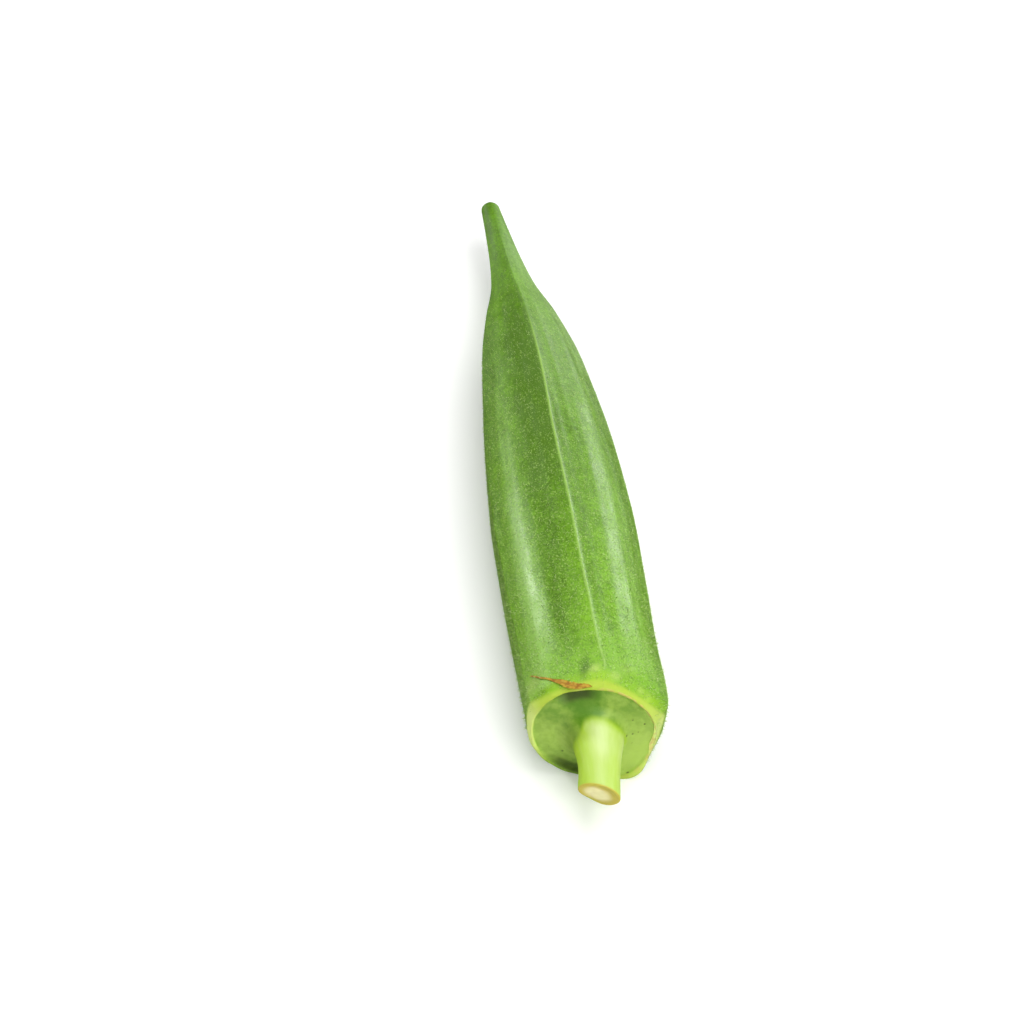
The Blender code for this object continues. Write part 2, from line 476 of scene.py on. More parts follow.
@dataclass(frozen=True)
class SkinFinish:
    """Fresh okra skin: speckled satin green, lime at the rim, pale glossy stem and cream cut, with painted
    shade, sheen, glints and shadow, and a painted highlight on the stem.
    """

    deep_green: Colour = (0.070, 0.168, 0.003)
    mid_green: Colour = (0.124, 0.290, 0.007)
    light_green: Colour = (0.205, 0.450, 0.014)
    # waxy bloom, mixed with painted sheen on the right face towards the tip
    bloom_and_sheen: Colour = (0.330, 0.500, 0.200)
    fleck: Colour = (0.380, 0.580, 0.130)
    # pale crest line: the crest's own paler skin with a painted glint
    crest_pale_glint: Colour = (0.300, 0.510, 0.095)
    lime: Colour = (0.285, 0.535, 0.001)
    rim_yellow: Colour = (0.405, 0.565, 0.028)
    rim_cream: Colour = (0.640, 0.775, 0.190)
    rim_tan: Colour = (0.580, 0.470, 0.120)
    # painted shadow in the gaps under the lip
    gap_shadow_colour: Colour = (0.050, 0.075, 0.004)
    cap_deep: Colour = (0.105, 0.270, 0.004)
    cap_light: Colour = (0.385, 0.560, 0.080)
    stem_green: Colour = (0.380, 0.595, 0.004)
    # pale of the stem's fibres and of the painted highlight down its middle
    stem_pale_and_highlight: Colour = (0.630, 0.770, 0.300)
    cut_tan: Colour = (0.560, 0.475, 0.055)
    cut_cream: Colour = (0.850, 0.800, 0.400)
    speck: Colour = (0.050, 0.060, 0.010)

    grain: Pattern = Pattern(0.38)
    shading: tuple[tuple[Pattern, float], ...] = (
        (Pattern(1.3, scale=(1.0, 0.12, 1.0)), 0.60),
        (Pattern(2.4, 2.0), 0.45),
        (Pattern(0.85, 1.0), 0.60),
        (grain, 0.80),
        (Pattern(0.22, 1.0), 1.20),
    )  # streaks, clouds, clumps, grain and fine grain, and how far each shifts the green
    sheen_haze_span: Span = (0.3, 0.65, 0.6, 1.2)
    crest_span: Span = (0.25, 0.5, 0.75, 1.0)
    patches: Pattern = Pattern(1.6, 1.0)
    lit_span: Span = (0.35, 0.65, 0.22, 0.66)
    lit_far: float = 0.55
    flecks: Pattern = Pattern(0.26, 2.0)
    fleck_span: Ease = (0.54, 0.68)
    mottle: Pattern = Pattern(0.9)
    mottle_span: Ease = (0.35, 0.65)
    cap_mottle: float = 0.22
    cap_span: Ease = (0.05, 1.15)
    fibres: Pattern = Pattern(0.7, 2.0, (1.0, 0.06, 1.0))
    fibre_span: Span = (0.30, 0.72, -0.05, 0.08)
    cut_mottle: float = 0.06

    satin_span: Span = (0.3, 0.7, 0.36, 0.43)
    wear: Pattern = Pattern(2.4, 2.0, (1.0, 0.40, 1.0))
    wear_span: Span = (0.38, 0.64, -0.035, 0.075)
    rougher: tuple[tuple[str, float], ...] = (("stem", 0.20), ("far", 0.06), ("dull", 0.20))
    pebble_size: float = 0.34
    pebble_span: Span = (0.0, 0.4, 0.6, 0.0)
    pebble_depth: float = 0.022
    specular: float = 0.6
    soft_glow: float = 0.12
    glow_reach: Colour = (0.7, 1.0, 0.2)

    def body_colour(self, box: Paintbox) -> Socket:
        """Greens of the body: streaks and clouds, darker valleys and flanks partly in painted shade, a waxy
        whitening with painted sheen, a painted highlight on the left rib, flecks, and crests with a painted
        glint.

        Args:
            box: the skin's paintbox.

        Returns:
            The body's colour.
        """
        grain = box.noise(self.grain)
        # the skin's own shades, with painted shade in the valleys and on the flanks
        tone_and_shade = box.weight("tone_and_shade")
        for pattern, share in self.shading:
            tone_and_shade = box.add(tone_and_shade, box.times(box.less(box.noise(pattern), 0.5), share))
        colour = box.mix(box.times(tone_and_shade, 2.0), self.deep_green, self.mid_green)
        colour = box.mix(box.less(box.times(tone_and_shade, 2.0), 1.0), colour, self.light_green)
        # waxy bloom mixed with painted sheen, and a painted highlight along the left rib
        sheen_haze = box.times(box.weight("sheen_haze"), box.span(grain, self.sheen_haze_span))
        colour = box.mix(sheen_haze, colour, self.bloom_and_sheen)
        lit = box.span(box.noise(self.patches), self.lit_span)
        lit = box.less(lit, box.times(box.weight("far"), self.lit_far))
        flecks = box.times(box.span(box.noise(self.flecks), self.fleck_span), lit)
        colour = box.mix(flecks, colour, self.fleck)
        # pale crest line with a painted glint
        crest = box.times(box.weight("crest"), box.span(grain, self.crest_span))
        return box.mix(crest, colour, self.crest_pale_glint)

    def whole_colour(self, box: Paintbox) -> Socket:
        """Colours of the lime glow, rim, cap, stem and cut, over the body's, with painted glints, painted
        shade and shadow, and a painted highlight on the stem.

        Args:
            box: the skin's paintbox.

        Returns:
            The whole skin's colour.
        """
        mottle = box.span(box.noise(self.mottle), self.mottle_span)
        # cap's own mottle, with painted shade under the lip
        cap_tone_and_shade = box.add(box.weight("cap_light"), box.times(mottle, self.cap_mottle))
        cap = box.mix(box.span(cap_tone_and_shade, self.cap_span), self.cap_deep, self.cap_light)
        # painted highlight down the stem, with pale fibres
        pale = box.add(box.weight("stem_highlight"), box.span(box.noise(self.fibres), self.fibre_span))
        stem = box.mix(pale, self.stem_green, self.stem_pale_and_highlight)
        cut = box.mix(box.weight("pith"), self.cut_tan, self.cut_cream)
        cut = box.mix(box.times(mottle, self.cut_mottle), cut, self.cut_tan)
        tan = box.times(box.weight("tan"), mottle)
        colour = self.body_colour(box)
        for weight, over in (
            (box.weight("glow"), self.lime),
            (box.weight("lip"), self.rim_yellow),
            # lip's own cream, with painted glints just above the rim
            (box.weight("lip_pale_and_glints"), self.rim_cream),
            (box.weight("cap"), cap),
            (box.weight("stem"), stem),
            # painted shadow in the gaps under the lip
            (box.weight("gap_shadow"), self.gap_shadow_colour),
            (tan, self.rim_tan),
            (box.weight("cut"), cut),
            (box.weight("speck"), self.speck),
        ):
            colour = box.mix(weight, colour, over)
        return colour

    def material(self) -> bpy.types.Material:
        """Build the material: patterns on Object coordinates, zones from the skin's own weights.

        Returns:
            The skin's material.
        """
        box = Paintbox("okra_skin")
        grain = box.noise(self.grain)
        rough = box.span(grain, self.satin_span)
        for zone, more in self.rougher:
            rough = box.add(rough, box.times(box.weight(zone), more))
        rough = box.add(rough, box.span(box.noise(self.wear), self.wear_span))
        pebbles = box.add(grain, box.span(box.dots(self.pebble_size), self.pebble_span))
        box.bump(box.times(pebbles, box.less(1.0, box.weight("stem"))), self.pebble_depth)
        box.set(Base_Color=self.whole_colour(box), Roughness=rough, Specular_IOR_Level=self.specular)
        box.set(Subsurface_Weight=self.soft_glow, Subsurface_Scale=MM)
        box.shader.inputs["Subsurface Radius"].default_value = self.glow_reach
        return box.material


@dataclass(frozen=True)
class HairFinish:
    """Short stiff skin hairs: pale, nearly white green."""

    root: Colour = (0.400, 0.600, 0.120)
    point: Colour = (0.850, 0.950, 0.550)
    uneven: Pattern = Pattern(1.5)
    uneven_span: Span = (0.3, 0.7, 0.0, 0.35)
    roughness: float = 0.45
    specular: float = 0.4

    def material(self) -> bpy.types.Material:
        """Build the material: each hair goes from green at its root to pale at its point.

        Returns:
            The hairs' material.
        """
        box = Paintbox("okra_hairs")
        tint = box.less(box.weight("tip"), box.span(box.noise(self.uneven), self.uneven_span))
        box.set(Base_Color=box.mix(tint, self.root, self.point))
        box.set(Roughness=self.roughness, Specular_IOR_Level=self.specular)
        return box.material


@dataclass(frozen=True)
class DriedCalyxFinish:
    """Dried calyx: papery tan with brown veins and a darker, wrinkled middle."""

    tan: Colour = (0.460, 0.248, 0.022)
    straw: Colour = (0.500, 0.340, 0.040)
    brown: Colour = (0.270, 0.105, 0.010)
    fibres: Pattern = Pattern(0.16, scale=(0.35, 1.0, 1.0))
    fibre_span: Ease = (0.35, 0.65)
    blots: Pattern = Pattern(0.7)
    blot_span: Ease = (0.42, 0.62)
    blot_strength: float = 0.8
    crinkle_depth: float = 0.03
    crinkle_strength: float = 0.8
    roughness: float = 0.75
    specular: float = 0.3

    def material(self) -> bpy.types.Material:
        """Build the material: fibres along the shred and dark blots.

        Returns:
            The shred's material.
        """
        box = Paintbox("dried_calyx_tissue")
        fibres, blots = box.noise(self.fibres), box.noise(self.blots)
        colour = box.mix(box.span(fibres, self.fibre_span), self.tan, self.straw)
        dark = box.times(box.span(blots, self.blot_span), self.blot_strength)
        dark = box.work_out(Sum.LARGER, dark, box.weight("fold"))
        box.bump(box.add(fibres, blots), self.crinkle_depth, self.crinkle_strength)
        box.set(Base_Color=box.mix(dark, colour, self.brown))
        box.set(Roughness=self.roughness, Specular_IOR_Level=self.specular)
        return box.material


@dataclass(frozen=True)
class FloorFinish:
    """Plain pale tabletop with a very faint unevenness."""

    low: Colour = (0.800, 0.800, 0.795)
    high: Colour = (0.825, 0.825, 0.820)
    clouds: Pattern = Pattern(60.0, 2.0)
    roughness: float = 0.6
    specular: float = 0.2
    white: Colour = (1.0, 1.0, 1.0)
    glow: float = 0.22

    def material(self) -> bpy.types.Material:
        """Build the material: it glows a little, as a light table does, so that shadows stay soft.

        Returns:
            The table's material.
        """
        box = Paintbox("pale_table")
        box.set(Base_Color=box.mix(box.noise(self.clouds), self.low, self.high))
        box.set(Roughness=self.roughness, Specular_IOR_Level=self.specular)
        box.set(Emission_Color=self.white, Emission_Strength=self.glow)
        return box.material


# ---------------------------------------------------------------------------------------------------
# The pod's form


@dataclass
class Places:
    """Places on the skin, as four arrays of one shape."""

    along: Array
    around: Array
    radius: Array
    reach: Array

    def sideways(self, angle: float) -> Array:
        """Distance round the pod from an angle, in millimetres."""
        return np.radians(turn_between(self.around, angle)) * self.radius


@dataclass(frozen=True)
class PodForm:
    """Outline, lobed cross-section and bent axis of the pod, in millimetres and degrees."""

    tip_along: float = 115.9
    tip_radius: float = 1.45
    tip_dome: float = 1.2
    body: Curve = (
        (108, 1.95), (102, 2.45), (94.5, 3.4), (86, 5.58), (76, 7.52), (65, 8.76), (52, 9.85), (38, 10.35),
        (24, 10.15), (12, 9.86), (6, 9.95),
    )
    shoulder: Curve = ((3.4, 9.85), (1.7, 9.35), (0.6, 8.8))
    rim: Curve = ((-0.05, 8.4), (-0.2, 8.15), (0.05, 7.85))
    scar: Curve = ((0.8, 7.6), (0.95, 7.2), (0.65, 6.5))
    cap: Curve = ((0.2, 5.6), (-0.2, 4.7), (-0.9, 4), (-2.2, 3.45))
    stem: Curve = ((-4.2, 3), (-7, 2.75), (-10.3, 2.65))
    cut_face: Curve = ((-10.42, 2.52), (-10.4, 2.25), (-10.3, 1.7), (-10.32, 0.9), (-10.36, 0.25))

    crests: int = 5
    crest_strengths: tuple[float, ...] = (1.0, 0.6, 0.5, 0.5, 0.0)  # from the top crest towards +X
    face_flatness: Curve = ((0, 0.28), (30, 0.32), (70, 0.42), (100, 0.5), (109, 0.45), (115, 0.1))
    rib_height: Curve = ((0, 0), (5, 0.015), (15, 0.03), (60, 0.02), (90, 0))
    rib_width: float = 9.0
    lobing: Ease = (7.6, 9.9)  # radius over which the crests and faces come out of the round end
    crest_turn: Curve = (
        (0, 9), (2.3, 7), (4.3, 4.2), (7, 3.2), (14.6, 3.3), (22.4, 2.2), (30.2, 2.1), (38.5, 1.5),
        (46, 0.8), (51.5, 0.6), (58, 1.4), (67, 2.5), (76, 2.2), (86, 0.4), (94, -2), (102, -1.5),
    )

    rim_lobe_height: float = 0.12
    rim_lobe_around: float = 145.0
    rim_lobe_width: float = 26.0
    rim_lobe_ease: Ease = (6.0, 8.0)  # radius
    rim_lobe_ends: float = 6.0

    groove_fill: float = 0.85
    groove_level: float = -0.02
    groove_radius: float = 8.0
    groove_open: Span = (-46.0, -30.0, -12.0, 12.0)
    groove_open_below: Span = (-180.0, -164.0, -148.0, -122.0)
    open_share_below: float = 0.6

    axis_height: float = 8.3
    underside_flatness: float = 0.88
    underside_spread: float = 50.0
    underside_along: Curve = ((0, 0), (8, 1), (70, 1), (90, 0))
    floor_ease: float = 0.12

    side_bend: Curve = (
        (-10.3, -0.55), (-3, 0.3), (0, 0), (4, 0.95), (12, 0.85), (60, 0.75), (85, 0.5), (116, -1),
    )
    rise: Curve = ((-10.3, -0.9), (-3, -0.15), (0, 0), (24, 0), (54, -0.2), (86, -0.9), (116, -1.5))
    rim_slope_up: float = 0.03
    rim_slope_side: float = -0.15
    lean: Span = (-6.0, -2.0, 2.0, 24.0)
    cut_slope_side: float = -0.46
    cut_slope_up: float = -0.27
    cut_starts: float = -4.2

    face_columns: int = 48
    crowding: float = 0.55  # how much closer the columns of points stand at the crests, from 0 to 1
    body_step: float = 0.53
    end_step: float = 0.135  # from the shoulder to the cut
    dome_rows: int = 8

    def rows(self) -> Array:
        """Rows of the outline from just behind the tip to the middle of the cut.

        Returns:
            One (along, radius, reach) for each row.
        """
        turn = np.linspace(0.0, math.pi / 2, self.dome_rows + 1)[1:]
        dome_along = self.tip_along - self.tip_dome * (1.0 - np.cos(turn))
        dome = np.column_stack([dome_along, self.tip_radius * np.sin(turn)])
        outline = self.body + self.shoulder + self.rim + self.scar + self.cap + self.stem + self.cut_face
        knots = np.vstack([dome[-1], np.array(outline)])
        distance = np.concatenate([[0.0], np.cumsum(np.hypot(*np.diff(knots, axis=0).T))])
        crest_distance = distance[len(self.body) + len(self.shoulder) + 2]
        steps = np.where(distance[1:] > distance[len(self.body)], self.end_step, self.body_step)
        stops = [
            np.linspace(start, end, math.ceil((end - start) / step) + 1)[1:]
            for start, end, step in zip(distance, distance[1:], steps)
        ]
        at = np.concatenate(stops)
        outer = np.column_stack([smooth_through(distance, knots, at), at - crest_distance])
        return np.vstack([np.column_stack([dome, np.full(self.dome_rows, -crest_distance)]), outer])

    def places(self) -> Places:
        """Places of the skin's grid: rows from tip to cut, columns round it, closest at the crests.

        The column angle is face_step * (i + t - crowding * sin(2 pi t) / (2 pi)) plus the crests' turn,
        so that a column follows each crest and its neighbours stand close to it.

        Returns:
            The grid's places, rows by columns.
        """
        rows = self.rows()
        share = np.arange(self.face_columns) / self.face_columns
        share = share - self.crowding * np.sin(math.tau * share) / math.tau
        face = np.arange(self.crests)[:, None] + share[None, :]
        angle = (face * FULL_TURN / self.crests).ravel()
        along, radius, reach = (np.repeat(rows[:, [i]], angle.size, axis=1) for i in range(3))
        return Places(along, angle[None, :] + self.twist(along), radius, reach)

    def twist(self, along: Array) -> Array:
        """Angle that the crests have turned."""
        return on_curve(self.crest_turn, along)

    def from_crest(self, places: Places) -> Array:
        """Signed angle to the nearest main crest."""
        step = FULL_TURN / self.crests
        return (places.around - self.twist(places.along) + step / 2.0) % step - step / 2.0

    def crest_strength(self, places: Places) -> Array:
        """How clearly the nearest crest's line shows, from 0 to 1."""
        nearest = np.round((places.around - self.from_crest(places)) * self.crests / FULL_TURN)
        return np.array(self.crest_strengths)[nearest.astype(int) % self.crests]

    def section(self, places: Places) -> Array:
        """Radius factor of the cross-section.

        A regular polygon's radius, cos(half) / cos(half - angle from crest), is blended with a circle;
        each face has a low bell-shaped rib, the underside face is flatter, and one rim lobe stands out.

        Args:
            places: places on the skin.

        Returns:
            A factor about 1 for each place.
        """
        along, around, radius = places.along, places.around, places.radius
        half = FULL_TURN / self.crests / 2.0
        angle = np.abs(self.from_crest(places))
        flat_face = math.cos(math.radians(half)) / np.cos(np.radians(half - angle))
        lobing = np.where(along > self.lean[-1], 1.0, ease_in(radius, *self.lobing))
        from_bottom = np.abs(turn_between(around, HALF_TURN))
        underside = smooth_step(1.0 - from_bottom / self.underside_spread)
        underside = underside * on_curve(self.underside_along, along)
        flatness = on_curve(self.face_flatness, along)
        flatness = (flatness + (self.underside_flatness - flatness) * underside) * lobing
        rib = on_curve(self.rib_height, along) * bell(angle - half, self.rib_width)
        near_rim = ease_in(radius, *self.rim_lobe_ease)
        near_rim = near_rim * smooth_step(1.0 - along / self.rim_lobe_ends)
        lobe = self.rim_lobe_height * near_rim * bell(around - self.rim_lobe_around, self.rim_lobe_width)
        return 1.0 - flatness * (1.0 - flat_face) + rib * lobing * (1.0 - underside) + lobe

    def settle(self, height: Array) -> Array:
        """Heights once the pod lies on the floor: flat below it, and eased by a parabola just above."""
        eased = np.maximum(height + self.floor_ease, 0.0) ** 2 / (4.0 * self.floor_ease)
        return np.where(height > self.floor_ease, height, eased)

    def groove(self, places: Places) -> Array:
        """Distance along once the groove inside the rim is mostly filled, but for two open stretches.

        Args:
            places: places on the skin.

        Returns:
            The new distance along for each place.
        """
        along, side = places.along, turn_between(places.around, 0.0)
        opened = window(side, *self.groove_open)
        opened = opened + self.open_share_below * window(side, *self.groove_open_below)
        in_groove = (places.radius < self.groove_radius) & (along < self.lean[2])
        fill = self.groove_fill * (1.0 - opened) * np.maximum(along - self.groove_level, 0.0)
        return np.where(in_groove, along - fill, along)

    def skin(self, places: Places) -> Array:
        """Points of the skin: the lobed section carried along the bent axis, with the rim's lean and cut.

        Args:
            places: places on the skin.

        Returns:
            One point in millimetres for each place.
        """
        along = self.groove(places)
        out = places.radius * self.section(replace(places, along=along))
        side = out * np.sin(np.radians(places.around))
        up = out * np.cos(np.radians(places.around))
        lean = window(along, *self.lean)
        cut_length = self.cut_starts - self.stem[-1][0]
        cut = np.clip((self.cut_starts - along) / cut_length, 0.0, 1.0) ** 2
        slope = lean * (self.rim_slope_side * side + self.rim_slope_up * up)
        slope = slope + cut * (self.cut_slope_side * side + self.cut_slope_up * up)
        height = self.axis_height + on_curve(self.rise, along) + up
        return np.stack([on_curve(self.side_bend, along) + side, along + slope, self.settle(height)], axis=-1)


@dataclass(frozen=True)
class Bump:
    """Smooth swelling or dent: its place, half-sizes across and along the skin, and height."""

    around: float
    reach: float
    wide: float
    long: float
    height: float

    def on(self, places: Places) -> Array:
        """Its height at every place, a bell in both directions."""
        across = places.sideways(self.around)
        return self.height * bell(across, self.wide) * bell(places.reach - self.reach, self.long)


@dataclass(frozen=True)
class Rib:
    """Lengthwise rib, or furrow where it is negative, whose height varies along the pod."""

    around: float
    width: float
    heights: Curve

    def on(self, places: Places) -> Array:
        """Its height at every place, a bell round the pod."""
        round_it = bell(turn_between(places.around, self.around), self.width)
        return on_curve(self.heights, places.along) * round_it * ease_out(places.reach, *BODY_FADE)


@dataclass(frozen=True)
class Relief:
    """Fine relief on the skin, as heights in millimetres along the outward normal."""

    crest_height: float = 0.05
    crest_width: float = 0.19
    crest_span: Span = (2.0, 5.0, 96.0, 112.0)
    flank_depth: float = 0.015
    flank_apart: float = 0.75
    flank_width: float = 0.4
    furrow_depth: float = 0.016
    furrow_middle: float = 0.5
    furrow_swing: float = 1.4
    furrow_span: Span = (1.0, 8.0, 80.0, 104.0)
    furrows: tuple[tuple[int, float, float, float], ...] = (
        (17, 1.2, 0.4, 31.0),
        (26, 1.0, 2.1, 23.0),
        (37, 0.5, 4.4, 17.0),
        (58, 0.2, 1.3, 12.0),
    )  # (furrows round the pod, share, phase and length of their swing)
    lump_height: float = 0.025
    lump_middle: float = 0.6
    lump_span: Span = (2.0, 12.0, 70.0, 98.0)
    lumps: tuple[tuple[float, float, int, float, float], ...] = (
        (5.3, 1.0, 3, 11.0, 0.0),
        (3.1, 0.0, 5, -7.0, 2.0),
    )  # (length and phase along the pod, lumps round it, length and phase of their twist)
    ribs: tuple[Rib, ...] = (
        Rib(26.5, 7, ((0, 0.15), (10, 0.22), (46, 0.2), (62, 0.07), (80, -0.05), (100, 0))),
        Rib(50, 12, ((2, 0), (12, 0.2), (52, 0.2), (84, 0))),
        Rib(41, 8, ((50, 0), (60, 0.15), (76, 0.13), (92, 0))),
        Rib(14, 6, ((2, 0), (12, -0.06), (52, -0.06), (80, 0))),
        Rib(-48, 14, ((0, 0.3), (10, 0.39), (32, 0.42), (46, 0.36), (62, 0.26), (80, 0.14), (100, 0))),
        Rib(-20, 7, ((2, 0), (12, 0.05), (52, 0.05), (80, 0))),
        Rib(-60, 6, ((2, 0), (12, 0.05), (52, 0.05), (80, 0))),
        Rib(106, 10, ((0, 0), (14, 0.2), (50, 0.2), (80, 0))),
        Rib(-110, 10, ((0, 0), (14, 0.2), (50, 0.2), (80, 0))),
    )
    bumps: tuple[Bump, ...] = (
        Bump(20, -2.3, 0.7, 0.7, 0.12),
        Bump(47, -2.4, 0.8, 0.8, 0.12),
        Bump(60, -4, 4, 3.5, -0.25),
        Bump(100, -1.4, 3.4, 3, -0.65),
        Bump(108, -0.8, 1.6, 1.6, -0.28),
        Bump(145, -0.5, 3, 1.6, 0.35),
        Bump(-85, 5.4, 2.4, 1.4, -0.28),
        Bump(-150, 14.9, 1.6, 1.5, -0.38),
    )

    lip_height: float = 0.07
    lip_span: Span = (-2.0, -0.6, 0.2, 0.9)
    lip_waves: Waves = ((1.0, 3, 1.0), (0.7, 7, 2.2), (0.4, 16, 0.0))
    petal_height: float = 0.14
    petal_middle: float = 0.6
    petal_turn: float = 18.0
    petal_span: Span = (1.2, 2.4, 3.8, 5.6)
    buttress_height: float = 0.05
    buttress_turn: float = 12.0
    buttress_span: Span = (4.0, 5.6, 6.2, 9.0)
    fibre_depth: float = 0.004
    fibre_span: Span = (5.5, 8.0, 14.4, 14.9)
    fibres: tuple[Span, ...] = (
        (1.0, 13, 0.5, math.inf),
        (0.7, 22, 2.0, math.inf),
        (0.5, 35, 0.0, 3.0),
    )  # (share, fibres round the stem, phase, length of their twist)
    cut_height: float = 0.05
    cut_waves: tuple[int, float, float] = (4, 1.0, 4.0)  # waves round the cut, phase, waves over it
    cut_span: Span = (15.0, 15.4, 16.6, 17.4)

    def heights(self, form: PodForm, places: Places) -> Array:
        """Sum of all the relief at every place, in millimetres."""
        bumps = sum(feature.on(places) for feature in self.ribs + self.bumps)
        return self.body_heights(form, places) + self.end_heights(form, places) + bumps

    def body_heights(self, form: PodForm, places: Places) -> Array:
        """Crests with a groove at each side, fine furrows and slow lumps.

        Args:
            form: the pod's form.
            places: places on the skin.

        Returns:
            One height in millimetres for each place.
        """
        along, turn = places.along, np.radians(places.around)
        apart = np.radians(form.from_crest(places)) * places.radius
        crest = self.crest_height * bell(apart, self.crest_width)
        crest = crest - self.flank_depth * bell(np.abs(apart) - self.flank_apart, self.flank_width)
        crest = crest * form.crest_strength(places) * window(along, *self.crest_span)
        furrows = np.zeros_like(along)
        for count, share, phase, drift in self.furrows:
            swing = self.furrow_swing * np.sin(along / drift + phase)
            furrows = furrows + share * np.cos(turn * count + swing)
        lumps = np.zeros_like(along)
        for length, phase, count, twist, twist_phase in self.lumps:
            rows = np.sin(along / length + phase)
            lumps = lumps + rows * np.cos(turn * count + along / twist + twist_phase)
        body = crest + self.furrow_depth * (furrows - self.furrow_middle) * window(along, *self.furrow_span)
        body = body + self.lump_height * (lumps - self.lump_middle) * window(along, *self.lump_span)
        return body * ease_out(places.reach, *BODY_FADE)

    def end_heights(self, form: PodForm, places: Places) -> Array:
        """Waves on the lip, petals on the cap, buttresses at the stem's foot, fibres, and a rough cut.

        Args:
            form: the pod's form.
            places: places on the skin.

        Returns:
            One height in millimetres for each place.
        """
        turn, reach = np.radians(places.around), places.reach
        lip = self.lip_height * waves(self.lip_waves, turn) * window(reach, *self.lip_span)
        petals = np.abs(np.cos(form.crests / 2.0 * (turn - math.radians(self.petal_turn))))
        petals = self.petal_height * (petals - self.petal_middle) * window(reach, *self.petal_span)
        foot = np.cos(form.crests * (turn - math.radians(self.buttress_turn)))
        foot = self.buttress_height * foot * window(reach, *self.buttress_span)
        fibres = sum(
            share * np.cos(count * turn + phase + reach / twist)
            for share, count, phase, twist in self.fibres
        )
        stem = self.fibre_depth * fibres * window(reach, *self.fibre_span)
        count, phase, rings = self.cut_waves
        cut = self.cut_height * np.sin(count * turn + phase) * np.sin(reach * rings)
        return lip + petals + foot + stem + cut * window(reach, *self.cut_span)


